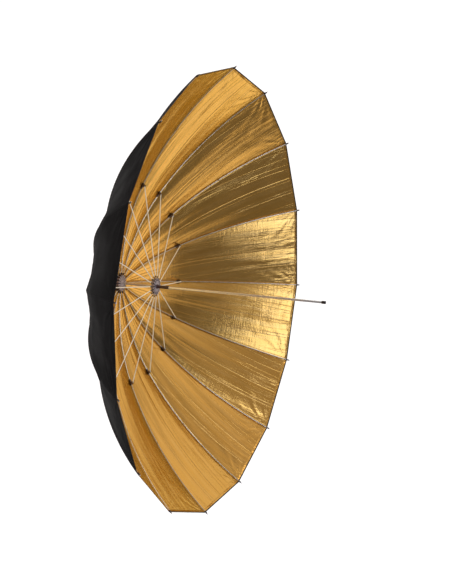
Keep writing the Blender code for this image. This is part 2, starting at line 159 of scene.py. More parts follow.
def skin_profile():
    """The skin's inner face over a rib as evenly spaced (distance, y) points, smoothed.

    Near the shaft it is level with the crown's ring, and further out it lies on the rod.
    """
    out = np.stack([np.sin(ROD_FALL), np.cos(ROD_FALL)], 1)
    over_rod = ROD_LINE + SKIN_OFFSET * out
    x = np.linspace(CROWN_HOLE, 0.085, 60)
    level = np.interp(x, over_rod[:, 0], over_rod[:, 1])
    share = np.clip((x - 0.026) / 0.045, 0, 1)
    share = share * share * (3 - 2 * share)
    crown = np.stack([x, CROWN_LEVEL * (1 - share) + level * share], 1)
    line = np.vstack([crown, over_rod[over_rod[:, 0] > 0.088]])
    run = np.concatenate([[0], np.cumsum(np.hypot(*np.diff(line, axis=0).T))])
    even = np.linspace(0, run[-1], int(run[-1] / MM))
    x, y = np.interp(even, run, line[:, 0]), np.interp(even, run, line[:, 1])
    kernel = np.hanning(27)
    kernel /= kernel.sum()
    pad = len(kernel) // 2

    def smooth(values):
        low = 2 * values[0] - values[pad:0:-1]
        high = 2 * values[-1] - values[-2 : -pad - 2 : -1]
        return np.convolve(np.concatenate([low, values, high]), kernel, "valid")

    return np.stack([smooth(x), smooth(y)], 1), even


PROFILE, RUN = skin_profile()
SLOPE = np.gradient(PROFILE, RUN, axis=0)
FALL = np.arctan2(-SLOPE[:, 1], SLOPE[:, 0])
RUN_END = RUN[-1]


def run_at(distance):
    """Length along the skin from the crown's hole to this distance from the shaft."""
    return float(np.interp(distance, PROFILE[:, 0], RUN))


# ---------------------------------------------------------------- canopy surface

DEEPEST_DIP = 8.5 * MM
# Each gore has wrinkles of its own: the places of its waves, and how strong each kind is.
PHASES = np.random.default_rng(16).uniform(0, 2 * math.pi, (RIBS, 24))
STRENGTH = np.random.default_rng(7).uniform(0.55, 1.25, (RIBS, 8))


def half_width(run):
    """Half of a gore's width at these lengths along the skin."""
    return np.interp(run, RUN, PROFILE[:, 0]) * HALF_GORE


def dip(run):
    """How far the middle of a gore is pulled in, most halfway along the skin."""
    share = np.clip(run / RUN_END, 0, 1)
    return 4 * DEEPEST_DIP * share * (1 - share)


def wrinkles(gore, run, v, half):
    """Tension folds: fans from the two rib tips, ripples behind the hem, and long soft pulls."""
    phase, strong = PHASES[gore], STRENGTH[gore]
    total = np.zeros_like(run)
    edge = np.minimum(v, 1 - v)
    ends = np.clip(edge * 9, 0, 1)
    for side in (0, 1):
        across = (v if side == 0 else 1 - v) * 2 * half
        back = RUN_END - run
        reach = np.hypot(across, back)
        angle = np.arctan2(across, back + 1e-6)
        fade = np.exp(-((reach / 0.13) ** 1.6)) * np.clip(reach / 0.022, 0, 1)
        k = 4 * side
        wave = np.sin(13 * angle + phase[k] + 2.2 * np.sin(reach * 24 + phase[k + 1]))
        wave += 0.55 * np.sin(23 * angle + phase[k + 2] + 1.7 * np.sin(reach * 41 + phase[k + 3]))
        total += 0.62 * MM * strong[side] * fade * wave
    back = RUN_END - run
    hem = np.exp(-((back / 0.045) ** 2))
    ripple = np.sin(v * 2 * half / 0.019 * 2 * math.pi + phase[8] + 1.3 * np.sin(v * 9 + phase[9]))
    ripple *= 0.5 + 0.5 * np.sin(v * 7.3 + phase[10])
    total += 0.42 * MM * strong[2] * hem * ripple
    pull = np.sin(v * 2 * math.pi * 2.3 + phase[11] + 1.1 * np.sin(run * 5 + phase[12]))
    pull += 0.6 * np.sin(v * 2 * math.pi * 4.1 + phase[13] + 1.6 * np.sin(run * 8 + phase[14]))
    total += 0.55 * MM * strong[3] * np.clip(run / 0.35, 0, 1) * pull
    seam = np.exp(-((edge * 2 * half / 0.016) ** 2))
    pucker = np.sin(run / 0.021 * 2 * math.pi + phase[15] + 2 * np.sin(run * 9 + phase[16]))
    total += 0.3 * MM * strong[4] * seam * pucker * np.clip(run / 0.2, 0, 1)
    # The bound edge is taut and stays straight.
    return total * ends * (0.12 + 0.88 * np.clip(back / 0.02, 0, 1))


def skin_point(gore, run, v, lift=0.0):
    """Points of the canopy. v runs from 0 on this gore's first rib to 1 on the next one."""
    x = np.interp(run, RUN, PROFILE[:, 0])
    y = np.interp(run, RUN, PROFILE[:, 1])
    fall = np.interp(run, RUN, FALL)
    here, there = radial(rib_angle(gore)), radial(rib_angle(gore + 1))
    across = here + v[:, None] * (there - here)
    base = x[:, None] * across + y[:, None] * Y_AXIS
    facing = across / np.linalg.norm(across, axis=1)[:, None]
    normal = np.sin(fall)[:, None] * facing + np.cos(fall)[:, None] * Y_AXIS
    half = x * HALF_GORE
    bow = 4 * v * (1 - v)
    fold = 0.5 * MM * np.exp(-(((v - 0.5) * 2 * half / 0.004) ** 2)) * np.clip(run / 0.3, 0, 1)
    inward = dip(run) * bow - wrinkles(gore, run, v, half) - fold
    return base + (lift - inward)[:, None] * normal


def skin_normal(gore, run, v):
    """Outward normal of the canopy, from differences along and across it."""
    du, dv = 0.4 * MM, 0.002
    run = np.clip(run, du, RUN_END - du)
    v = np.clip(v, dv, 1 - dv)
    along = skin_point(gore, run + du, v) - skin_point(gore, run - du, v)
    across = skin_point(gore, run, v + dv) - skin_point(gore, run, v - dv)
    normal = np.cross(across, along)
    return normal / np.linalg.norm(normal, axis=1)[:, None]


# ---------------------------------------------------------------- mesh helpers


def new_object(name, points, faces, materials, indices=None, smooth=True):
    mesh = bpy.data.meshes.new(name)
    mesh.from_pydata([tuple(p) for p in points], [], [tuple(f) for f in faces])
    for mat in materials:
        mesh.materials.append(mat)
    if indices is not None:
        mesh.polygons.foreach_set("material_index", np.asarray(indices, np.int32))
    if smooth:
        mesh.shade_smooth()
    mesh.update()
    obj = bpy.data.objects.new(name, mesh)
    bpy.context.scene.collection.objects.link(obj)
    return obj


class Builder:
    """Gathers closed shapes into one mesh, with a material for each."""

    def __init__(self):
        self.points, self.faces, self.indices = [], [], []

    def add(self, points, faces, index=0):
        start = len(self.points)
        self.points += [tuple(p) for p in points]
        self.faces += [tuple(start + k for k in face) for face in faces]
        self.indices += [index] * len(faces)

    def rings(self, rings, index=0, closed=False, caps=True):
        """Skins a list of rings of points, each with the same count."""
        count = len(rings[0])
        faces = []
        pairs = list(range(len(rings) - 1)) + ([len(rings) - 1] if closed else [])
        for r in pairs:
            s = (r + 1) % len(rings)
            for k in range(count):
                j = (k + 1) % count
                faces.append((r * count + k, r * count + j, s * count + j, s * count + k))
        if caps and not closed:
            faces.append(tuple(range(count))[::-1])
            last = (len(rings) - 1) * count
            faces.append(tuple(last + k for k in range(count)))
        self.add(np.vstack(rings), faces, index)

    def object(self, name, materials, sharp=40):
        obj = new_object(name, self.points, self.faces, materials, self.indices)
        obj.data.set_sharp_from_angle(angle=math.radians(sharp))
        return obj


def tube_rings(line, radii, sides, sideways):
    """Rings about a line of world points that lies in a plane whose normal is sideways."""
    line = np.asarray(line)
    along = np.gradient(line, axis=0)
    along /= np.linalg.norm(along, axis=1)[:, None]
    out = np.cross(sideways, along)
    rings = []
    for point, direction, radius in zip(line, out, np.broadcast_to(radii, (len(line),))):
        angles = 2 * math.pi * np.arange(sides) / sides
        rings.append(
            point
            + radius * (np.cos(angles)[:, None] * direction + np.sin(angles)[:, None] * sideways)
        )
    return rings


def lathe_rings(outline, steps, phase=0.0):
    """One ring of outline points for each step of a turn about the shaft."""
    outline = np.asarray(outline)
    found = []
    for step in range(steps):
        angle = phase + 2 * math.pi * step / steps
        found.append(outline[:, :1] * radial(angle) + outline[:, 1:] * Y_AXIS)
    return found


# ---------------------------------------------------------------- materials


class Nodes:
    """Shorthand for making the nodes of a material or a world."""

    def __init__(self, made, shader="Principled BSDF"):
        made.use_nodes = True
        self.made = made
        self.tree = made.node_tree
        self.shader = self.tree.nodes[shader]

    def new(self, kind, inputs=(), **settings):
        node = self.tree.nodes.new("ShaderNode" + kind)
        for key, value in settings.items():
            setattr(node, key, value)
        for key, value in dict(inputs).items():
            self.put(node.inputs[key], value)
        return node

    def put(self, socket, value):
        if isinstance(value, bpy.types.NodeSocket):
            self.tree.links.new(value, socket)
        else:
            socket.default_value = value

    def set(self, **values):
        for key, value in values.items():
            self.put(self.shader.inputs[key.replace("_", " ")], value)

    def math(self, operation, a, b=0.0, c=0.0):
        node = self.new("Math", {0: a, 1: b, 2: c}, operation=operation)
        return node.outputs[0]

    def noise(self, vector, scale, detail=2.0, rough=0.5, distort=0.0):
        node = self.new(
            "TexNoise",
            {"Scale": scale, "Detail": detail, "Roughness": rough, "Distortion": distort},
        )
        self.put(node.inputs["Vector"], vector)
        return node.outputs["Fac"]

    def scaled(self, vector, scale, move=(0, 0, 0)):
        node = self.new("Mapping", {"Vector": vector, "Scale": scale, "Location": move})
        return node.outputs["Vector"]

    def ramp(self, fac, stops):
        node = self.new("ValToRGB", {"Fac": fac})
        elements = node.color_ramp.elements
        while len(elements) < len(stops):
            elements.new(0.5)
        for element, (place, colour) in zip(elements, stops):
            element.position = place
            element.color = (*colour, 1)
        return node.outputs["Color"]

    def range(self, value, low, high, to_low=0.0, to_high=1.0):
        names = ("Value", "From Min", "From Max", "To Min", "To Max")
        inputs = dict(zip(names, (value, low, high, to_low, to_high)))
        node = self.new("MapRange", inputs, interpolation_type="SMOOTHSTEP")
        return node.outputs["Result"]

    def dot(self, vector, direction):
        node = self.new("VectorMath", {0: vector, 1: direction}, operation="DOT_PRODUCT")
        return node.outputs["Value"]

    def mix(self, fac, a, b):
        node = self.new("Mix", data_type="RGBA")
        self.put(node.inputs["Factor"], fac)
        for index, value in ((6, a), (7, b)):
            self.put(node.inputs[index], (*value, 1) if isinstance(value, tuple) else value)
        return node.outputs[2]

    def bump(self, height, distance, strength=1.0, normal=None):
        node = self.new("Bump", {"Height": height, "Distance": distance, "Strength": strength})
        if normal is not None:
            self.put(node.inputs["Normal"], normal)
        return node.outputs["Normal"]


STITCHES_PER_METRE = 330.0
THREAD_PITCH = 0.0009
GRAIN = 0.00004


def cloth_coordinates(n):
    """(across the gore, along it) in metres, and (gore number, distance to the nearer seam)."""
    cloth = n.new("UVMap", uv_map="Cloth").outputs["UV"]
    gore = n.new("UVMap", uv_map="Gore").outputs["UV"]
    split = n.new("SeparateXYZ", {"Vector": gore})
    place = n.new("SeparateXYZ", {"Vector": cloth})
    return cloth, place.outputs["X"], place.outputs["Y"], split.outputs["X"], split.outputs["Y"]


def weave(n, cloth):
    """Plain weave height: warp and weft over each other, from two crossed waves."""
    wave = {"wave_type": "BANDS", "wave_profile": "SIN"}
    # At scale 1 the wave texture has 20 / (2 pi) waves in a metre.
    k = 2 * math.pi / (20 * THREAD_PITCH)
    across = n.new("TexWave", {"Vector": cloth, "Scale": k}, bands_direction="X", **wave)
    along = n.new("TexWave", {"Vector": cloth, "Scale": k}, bands_direction="Y", **wave)
    return n.math("MULTIPLY", across.outputs["Fac"], along.outputs["Fac"])


def stitches(n, distance, place, along, soft=0.0009):
    """A dashed line of thread this far from an edge."""
    off = n.math("ABSOLUTE", n.math("SUBTRACT", distance, place))
    dash = n.math("FRACT", n.math("MULTIPLY", along, STITCHES_PER_METRE))
    return n.math("MULTIPLY", n.range(off, 0.0003, soft, 1, 0), n.math("GREATER_THAN", dash, 0.35))


def gold_lining():
    """Metallised lining: a bright foil on a fine weave, creased, crinkled and sewn."""
    n = Nodes(bpy.data.materials.new("gold_lining"))
    cloth, across, along, gore, seam = cloth_coordinates(n)
    back = n.math("SUBTRACT", RUN_END, along)
    # Each gore is its own cut of cloth, so its tone differs a little.
    own = n.new("TexWhiteNoise", {"W": gore}, noise_dimensions="1D")
    tone = own.outputs["Value"]
    wide = n.noise(n.scaled(cloth, (1, 1, 1)), 6.0, 3.0)
    streak = n.noise(n.scaled(cloth, (60, 5, 1)), 1.0, 4.0, 0.6)
    base = n.mix(wide, (0.76, 0.385, 0.078), (0.83, 0.44, 0.105))
    base = n.mix(n.math("MULTIPLY", tone, 0.5), base, (0.76, 0.40, 0.078))
    base = n.mix(n.range(streak, 0.35, 0.75, 0.0, 0.35), base, (0.89, 0.54, 0.18))
    # Sewn seam over each rib, the doubled hem and its stitches.
    seam_line = n.range(seam, 0.0006, 0.0022, 1.0, 0.0)
    sewn = n.math(
        "MAXIMUM", stitches(n, seam, 0.0052, along), stitches(n, back, 0.0105, across)
    )
    # The cloth is darker in a narrow band along each seam, under the rib's rod.
    base = n.mix(n.math("MULTIPLY", seam_line, 0.55), base, (0.10, 0.05, 0.015))
    base = n.mix(n.math("MULTIPLY", sewn, 0.5), base, (0.35, 0.20, 0.05))
    bound = n.range(back, 0.0036, 0.0044, 1.0, 0.0)
    base = n.mix(bound, base, (0.018, 0.012, 0.010))
    rough = n.range(wide, 0.3, 0.7, 0.15, 0.24)
    rough = n.math("ADD", rough, n.math("MULTIPLY", bound, 0.4))
    rough = n.math("ADD", rough, n.math("MULTIPLY", streak, 0.06))
    rough = n.math("ADD", rough, n.math("MULTIPLY", sewn, 0.25))
    # Heights, from the finest to the largest.
    fine = n.noise(n.scaled(cloth, (1, 0.55, 1)), 260.0, 3.0, 0.6, 0.6)
    crease = n.new(
        "TexVoronoi",
        {"Vector": n.scaled(cloth, (1, 0.6, 1)), "Scale": 75.0},
        feature="DISTANCE_TO_EDGE",
    )
    sharp = n.range(crease.outputs["Distance"], 0.0, 0.16, 1.0, 0.0)
    patches = n.range(n.noise(cloth, 5.0, 2.0), 0.35, 0.7, 0.35, 1.0)
    soft = n.noise(n.scaled(cloth, (1, 0.35, 1)), 38.0, 3.0, 0.55, 0.8)
    crinkle = n.math("ADD", fine, n.math("MULTIPLY", sharp, 0.2))
    crinkle = n.math("MULTIPLY", crinkle, patches)
    pulls = n.noise(n.scaled(cloth, (75, 1.6, 1)), 1.0, 2.0, 0.5)
    fold = n.range(n.math("ABSOLUTE", across), 0.0, 0.0016, 1.0, 0.0)
    # Long thin creases, left from folding, that run down the gore.
    drawn = n.noise(n.scaled(cloth, (30, 0.8, 1), (7, 2, 0)), 1.0, 2.0, 0.5)
    drawn = n.range(n.math("ABSOLUTE", n.math("SUBTRACT", drawn, 0.5)), 0.0, 0.018, 1.0, 0.0)
    hem_step = n.range(back, 0.0115, 0.0128, 1.0, 0.0)
    hem_tilt = n.math("MINIMUM", n.math("MULTIPLY", back, 1 / 0.0125), 1.0)
    seam_step = n.range(seam, 0.0062, 0.0074, 1.0, 0.0)
    # Crossed crinkles a few millimetres wide, as a metallised weave takes on where it is taut.
    warp = n.noise(n.scaled(cloth, (230, 22, 1)), 1.0, 2.0, 0.5, 0.4)
    weft = n.noise(n.scaled(cloth, (22, 190, 1), (3, 5, 0)), 1.0, 2.0, 0.5, 0.4)
    crossed = n.math("MULTIPLY", n.math("ADD", warp, weft), patches)
    normal = n.bump(weave(n, cloth), 0.00005, 0.35)
    normal = n.bump(crinkle, 0.00014, 0.5, normal)
    normal = n.bump(crossed, 0.0006, 1.0, normal)
    normal = n.bump(soft, 0.0011, 0.5, normal)
    normal = n.bump(pulls, 0.0011, 0.8, normal)
    normal = n.bump(hem_tilt, 0.0030, 1.0, normal)
    normal = n.bump(n.math("ADD", hem_step, seam_step), 0.00035, 0.8, normal)
    normal = n.bump(n.math("ADD", fold, n.math("MULTIPLY", drawn, 0.6)), 0.0006, 0.9, normal)
    normal = n.bump(sewn, 0.0003, 0.8, normal)
    n.set(
        Base_Color=base,
        Metallic=n.math("SUBTRACT", 1.0, bound),
        Specular_Tint=(0.74, 0.79, 0.54, 1),
        Roughness=rough,
        Normal=normal,
    )
    return n.made


def black_nylon():
    """Outer cloth: black nylon taffeta with a soft grey sheen and sewn seams."""
    n = Nodes(bpy.data.materials.new("black_nylon"))
    cloth, across, along, gore, seam = cloth_coordinates(n)
    back = n.math("SUBTRACT", RUN_END, along)
    own = n.new("TexWhiteNoise", {"W": gore}, noise_dimensions="1D")
    wide = n.noise(cloth, 8.0, 4.0)
    base = n.mix(wide, (0.0060, 0.0048, 0.0048), (0.0105, 0.0085, 0.0085))
    base = n.mix(n.math("MULTIPLY", own.outputs["Value"], 0.5), base, (0.0125, 0.0105, 0.0108))
    sewn = n.math(
        "MAXIMUM", stitches(n, seam, 0.0026, along, 0.0008), stitches(n, back, 0.0105, across)
    )
    base = n.mix(n.math("MULTIPLY", sewn, 0.6), base, (0.035, 0.031, 0.032))
    soft = n.noise(n.scaled(cloth, (1, 0.35, 1)), 30.0, 3.0, 0.55, 0.6)
    seam_step = n.range(seam, 0.0036, 0.0048, 1.0, 0.0)
    hem_step = n.range(back, 0.0115, 0.0128, 1.0, 0.0)
    groove = n.range(seam, 0.0, 0.0009, 0.0, 1.0)
    normal = n.bump(weave(n, cloth), 0.00007, 0.5)
    normal = n.bump(soft, 0.0009, 0.45, normal)
    normal = n.bump(n.math("ADD", seam_step, hem_step), 0.00035, 0.9, normal)
    normal = n.bump(groove, 0.0005, 0.9, normal)
    normal = n.bump(sewn, 0.0003, 0.8, normal)
    n.set(
        Base_Color=base,
        Roughness=n.range(wide, 0.3, 0.7, 0.66, 0.78),
        Normal=normal,
        Sheen_Weight=0.004,
        Sheen_Roughness=0.4,
        Sheen_Tint=(0.75, 0.72, 0.76, 1),
        Specular_IOR_Level=0.03,
    )
    return n.made


def binding_tape():
    """Ribbed black tape at the cloth's cut edges."""
    n = Nodes(bpy.data.materials.new("black_binding"))
    place = n.new("TexCoord").outputs["Object"]
    rib = n.new("TexWave", {"Vector": place, "Scale": 180.0}, wave_type="BANDS")
    n.set(
        Base_Color=n.mix(n.noise(place, 60.0), (0.012, 0.010, 0.010), (0.035, 0.026, 0.022)),
        Roughness=0.75,
        Normal=n.bump(rib.outputs["Fac"], 0.0001, 0.6),
        Sheen_Weight=0.2,
    )
    return n.made


def painted(
    name, dark, light, rough, metallic=0.0, scale=90.0, coat=0.0, glow=0.0, specular=0.5
):
    """Moulded, drawn or painted surface with mottled tone, uneven gloss and a fine grain. A glow above
    zero is painted light: the surface gives off its light colour though it is no lamp.
    """
    n = Nodes(bpy.data.materials.new(name))
    place = n.new("TexCoord").outputs["Object"]
    mottle = n.noise(place, scale, 4.0, 0.6)
    wear = n.noise(place, scale * 7, 3.0, 0.65)
    n.set(
        Base_Color=n.mix(mottle, dark, light),
        Metallic=metallic,
        Roughness=n.range(wear, 0.3, 0.7, rough * 0.8, rough * 1.25),
        Normal=n.bump(wear, GRAIN, 0.6),
        Coat_Weight=coat,
        Specular_IOR_Level=specular,
        # Emission here is painted light, as strong as the glow.
        Emission_Color=(*light, 1),
        Emission_Strength=glow,
    )
    return n.made


def slotted_ring():
    """Plated ring whose sixteen slots, one for each eye, run in towards its sleeve. The slots are a
    bump and are painted near black: painted shade in the recesses.
    """
    n = Nodes(bpy.data.materials.new("slotted_ring"))
    place = n.new("TexCoord").outputs["Object"]
    x, _, z = n.new("SeparateXYZ", {"Vector": place}).outputs
    radius = n.math("SQRT", n.math("ADD", n.math("MULTIPLY", x, x), n.math("MULTIPLY", z, z)))
    turn = n.math("ARCTAN2", x, z)
    per_radian = RIBS / (2 * math.pi)
    # Counted in ribs from the first one, half a step on, so that a rib is where the fraction is 0.5.
    turn = n.math("MULTIPLY_ADD", turn, per_radian, RIBS + 0.5 - PHASE * per_radian)
    away = n.math("ABSOLUTE", n.math("SUBTRACT", n.math("FRACT", turn), 0.5))
    slot = n.math("MULTIPLY", n.range(away, 0.16, 0.24, 1, 0), n.range(radius, 0.0085, 0.0115))
    grain = n.noise(place, 240.0, 4.0, 0.6)
    base = n.mix(grain, (0.34, 0.25, 0.22), (0.56, 0.44, 0.39))
    n.set(
        # Painted shade: near black in the slots.
        Base_Color=n.mix(slot, base, (0.022, 0.014, 0.012)),
        Metallic=0.4,
        Roughness=n.range(grain, 0.3, 0.7, 0.26, 0.42),
        Normal=n.bump(slot, 0.001, -1.0, n.bump(grain, GRAIN, 0.6)),
    )
    return n.made


GOLD = gold_lining()
NYLON = black_nylon()
TAPE = binding_tape()
# The rods' small glow is painted light.
ROD_STEEL = painted("sprung_rod", (0.62, 0.51, 0.36), (0.80, 0.69, 0.52), 0.26, 0.95, glow=0.02)
# The stretchers' strong glow is painted light, brightening them beyond the light that reaches them.
STEEL = painted("pale_steel", (0.84, 0.71, 0.48), (0.98, 0.85, 0.62), 0.34, 0.2, glow=0.18)
BRACKET = painted("brown_bracket", (0.085, 0.045, 0.026), (0.19, 0.105, 0.060), 0.38, 0.5)
SOCKET = painted("dark_socket", (0.035, 0.022, 0.018), (0.085, 0.055, 0.045), 0.36, 0.6)
TIP_BLACK = painted("tip_cap_plastic", (0.016, 0.014, 0.016), (0.040, 0.034, 0.036), 0.45)
TIP_METAL = painted("tip_metal", (0.42, 0.42, 0.44), (0.62, 0.62, 0.64), 0.28, 1.0)
THREAD = painted("tie_thread", (0.20, 0.11, 0.045), (0.42, 0.25, 0.10), 0.8, scale=400.0)
# The tube's small glow is painted light.
CHROME = painted(
    "chrome_tube", (0.82, 0.81, 0.79), (0.92, 0.90, 0.87), 0.2, 0.85, scale=35.0, glow=0.04
)
RING = slotted_ring()
WIRE = painted("ring_wire", (0.45, 0.42, 0.42), (0.62, 0.60, 0.58), 0.30, 1.0)
PLASTIC = painted("black_plastic", (0.018, 0.015, 0.016), (0.040, 0.034, 0.036), 0.32)
SLEEVE = painted("runner_sleeve", (0.045, 0.018, 0.014), (0.10, 0.040, 0.030), 0.26, coat=0.5)
PAD = painted(
    "joint_pad", (0.007, 0.006, 0.006), (0.013, 0.011, 0.011), 0.85, scale=400.0, specular=0.05
)
CATCH = painted("catch_spring", (0.55, 0.55, 0.56), (0.74, 0.74, 0.74), 0.22, 1.0)


# ---------------------------------------------------------------- canopy pieces

BANDS = (
    # name, from and to distance from the shaft, body kind, share kept when folded
    ("crown", CROWN_HOLE, 0.030, "root", None),
    ("neck", 0.030, 0.062, "neck", None),
    ("upper", 0.062, 0.160, "rib", 0.68),
    ("middle", 0.160, float(JOINT[0]), "rib", 0.34),
    ("lower", float(JOINT[0]), None, "rib_end", 0.19),
)
# Row spacing of the cloth's mesh, up to each length along the skin.
ROW_PITCHES = ((0.45, 0.009), (RUN_END - 0.16, 0.0065), (math.inf, 0.004))


def stations(start, end):
    """Lengths along the skin, closer together towards the rim."""
    steps = [start]
    while steps[-1] < end:
        steps.append(steps[-1] + next(pitch for limit, pitch in ROW_PITCHES if steps[-1] < limit))
    steps = np.array(steps)
    return start + (steps - start) * (end - start) / (steps[-1] - start)


LINING, OUTSIDE, EDGE = range(3)


class Grid:
    """Lengths along the skin by places across a gore, with texture places and normals."""

    def __init__(self, gore, rows, columns):
        self.gore, self.rows, self.columns = gore, len(rows), len(columns)
        self.run, self.v = np.repeat(rows, self.columns), np.tile(columns, self.rows)
        half = half_width(self.run)
        seam = np.minimum(self.v, 1 - self.v) * 2 * half
        self.cloth = np.stack([(self.v - 0.5) * 2 * half, self.run], 1)
        self.gores = np.stack([np.full(len(self.v), gore + 0.5), seam], 1)
        self.normal = skin_normal(gore, self.run, self.v)


class Skin:
    """Gathers a canopy piece's faces, each corner with its texture places and its normal."""

    def __init__(self):
        self.points, self.faces, self.indices = [], [], []
        self.cloth, self.gores, self.normals = [], [], []

    def face(self, corners, index, grid, places, normals):
        self.faces.append(corners)
        self.indices.append(index)
        self.cloth.extend(grid.cloth[places])
        self.gores.extend(grid.gores[places])
        self.normals.extend(normals)

    def layer(self, grid, lift, sign, index):
        """Quads over a grid, facing out for sign 1 and in for -1. Gives its first point."""
        first = len(self.points)
        self.points.extend(skin_point(grid.gore, grid.run, grid.v, lift))
        for r in range(grid.rows - 1):
            for k in range(grid.columns - 1):
                a = r * grid.columns + k
                ring = [a, a + 1, a + 1 + grid.columns, a + grid.columns][::sign]
                self.face([first + q for q in ring], index, grid, ring, sign * grid.normal[ring])
        return first

    def wall(self, pairs, inner, outer, grid):
        """Joins two layers, given by their first points, along pairs of neighbouring points."""
        for a, b in pairs:
            corners = [inner + a, inner + b, outer + b, outer + a]
            p, q, r = (self.points[corner] for corner in corners[:3])
            flat = np.cross(q - p, r - p)
            size = np.linalg.norm(flat)
            flat = flat / size if size > 1e-12 else grid.normal[a]
            self.face(corners, EDGE, grid, [a, b, b, a], [flat] * 4)

    def object(self, name):
        """The halves share their points along the rib, so that the piece is one closed sheet."""
        points = np.array(self.points)
        _, keep, same = np.unique(
            np.round(points, 7), axis=0, return_index=True, return_inverse=True
        )
        same = same.reshape(-1)
        faces = [[int(same[k]) for k in face] for face in self.faces]
        obj = new_object(name, points[keep], faces, (GOLD, NYLON, TAPE), self.indices)
        for layer, values in (("Cloth", self.cloth), ("Gore", self.gores)):
            uv = obj.data.uv_layers.new(name=layer)
            uv.uv.foreach_set("vector", np.asarray(values, np.float32).ravel())
        obj.data.normals_split_custom_set([tuple(x) for x in self.normals])
        return obj


def skin_patch(name, ribs, start, end, columns, tongue=0.0):
    """A thin closed piece of the canopy over these ribs: gold inside, black outside.

    It spans half a gore on each side of each rib. The normals come from the whole canopy, so
    neighbouring pieces shade as one sheet and only the seams over the ribs are sharp. A tongue
    is a single layer that reaches under the next piece towards the crown.
    """
    rows = stations(start, end)
    last = (len(rows) - 1) * columns
    crown_end = [(k, k + 1) for k in range(columns - 1)]
    rim_end = [(last + k + 1, last + k) for k in range(columns - 1)]
    fold = [(r * columns, (r + 1) * columns) for r in range(len(rows) - 1)]
    skin = Skin()
    for rib in ribs:
        halves = (
            ((rib - 1) % RIBS, np.linspace(0.5, 1, columns), [(b, a) for a, b in fold]),
            (rib, np.linspace(0, 0.5, columns), [(a + columns - 1, b + columns - 1) for a, b in fold]),
        )
        for gore, across, mid_gore in halves:
            grid = Grid(gore, rows, across)
            inner = skin.layer(grid, 0.0, -1, LINING)
            outer = skin.layer(grid, SKIN_THICK, 1, OUTSIDE)
            skin.wall(crown_end + rim_end, inner, outer, grid)
            if len(ribs) < RIBS:
                skin.wall(mid_gore, inner, outer, grid)
            if tongue:
                under = Grid(gore, np.linspace(start - tongue, start + 0.002, 4), across)
                skin.layer(under, SKIN_THICK / 2, 1, OUTSIDE)
    return skin.object(name)


def canopy():
    """The cloth in bands, which fold on their ribs: a disc at the crown and pieces on each rib."""
    for label, low, high, kind, keep in BANDS:
        start = run_at(low)
        end = RUN_END if high is None else run_at(high)
        if kind == "root":
            disc = skin_patch(f"canopy_{label}", range(RIBS), start, end, 4)
            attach(disc, "root")
            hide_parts("canopy")
            continue
        for rib, tag, side in each_rib():
            columns = {"neck": 6, "rib": 14, "rib_end": 22}[kind]
            tongue = 14 * MM if kind == "rib_end" else 0.0
            piece = skin_patch(f"canopy_{label}_{tag}", [rib], start, end, columns, tongue)
            if kind == "neck":
                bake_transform(piece)
            else:
                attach(piece, f"{kind}_{tag}")
                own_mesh(piece)


# ---------------------------------------------------------------- ribs and stretchers


def frame_on(point, fall, number):
    """Origin, along-rib, outward and sideways directions at a point of a rib's plane."""
    origin = in_rib_plane(number, point)[0]
    out2 = np.array([math.sin(fall), math.cos(fall)])
    along2 = np.array([math.cos(fall), -math.sin(fall)])
    angle = rib_angle(number)
    along = along2[0] * radial(angle) + along2[1] * Y_AXIS
    out = out2[0] * radial(angle) + out2[1] * Y_AXIS
    return origin, along, out, tangent(angle)


def block(build, axes, lows, highs, index=0, bevel=0.25 * MM):
    """A box with cut corners, along three directions from an origin."""
    origin, a, b, c = axes
    rings = []
    (x0, y0, z0), (x1, y1, z1) = lows, highs
    e = bevel
    for x, inset in ((x0, e), (x0 + e, 0), (x1 - e, 0), (x1, e)):
        ya, yb, za, zb = y0 + inset, y1 - inset, z0 + inset, z1 - inset
        loop = [
            (ya + e, za), (yb - e, za), (yb, za + e), (yb, zb - e),
            (yb - e, zb), (ya + e, zb), (ya, zb - e), (ya, za + e),
        ]
        rings.append(np.array([origin + x * a + y * b + z * c for y, z in loop]))
    build.rings(rings, index)


def pin_rings(centre, axis, up, radius, half, sides=14, dome=0.3 * MM):
    """Rings of a short round pin with rounded ends."""
    side = np.cross(axis, up)
    rings = []
    for z, r in ((-half - dome, 0.55), (-half, 1.0), (half, 1.0), (half + dome, 0.55)):
        angles = 2 * math.pi * np.arange(sides) / sides
        rings.append(
            centre + z * axis
            + radius * r * (np.cos(angles)[:, None] * up + np.sin(angles)[:, None] * side)
        )
    return rings


def eye_rings(centre, axis, up, hole, radius, half, sides=20):
    """A washer-like eye about a wire or pin."""
    side = np.cross(axis, up)
    found = []
    for k in range(sides):
        angle = 2 * math.pi * k / sides
        spoke = math.cos(angle) * up + math.sin(angle) * side
        corners = ((hole, -half), (radius - 0.3 * MM, -half), (radius, -half * 0.6),
                   (radius, half * 0.6), (radius - 0.3 * MM, half), (hole, half))
        found.append(np.array([centre + r * spoke + z * axis for r, z in corners]))
    return found


def rib_rods():
    """The springy rod of each rib, one length from its socket to its tip, bending past the bracket.
    """
    run = np.concatenate([[0], np.cumsum(np.hypot(*np.diff(ROD_LINE, axis=0).T))])

    def on_line(lengths):
        return np.stack([np.interp(lengths, run, ROD_LINE[:, k]) for k in (0, 1)], 1)

    start, end = 9 * MM, run[-1] - 2 * MM
    at = np.linspace(start, end, 130)
    line = on_line(at)
    for rib, tag, side in each_rib():
        build = Builder()
        world = in_rib_plane(rib, line)
        build.rings(tube_rings(world, ROD_RADIUS, 12, side))
        obj = build.object("rib_rod_" + tag, (ROD_STEEL,))
        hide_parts("rib_inner_" + tag, "rib_outer_" + tag)
        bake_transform(obj)


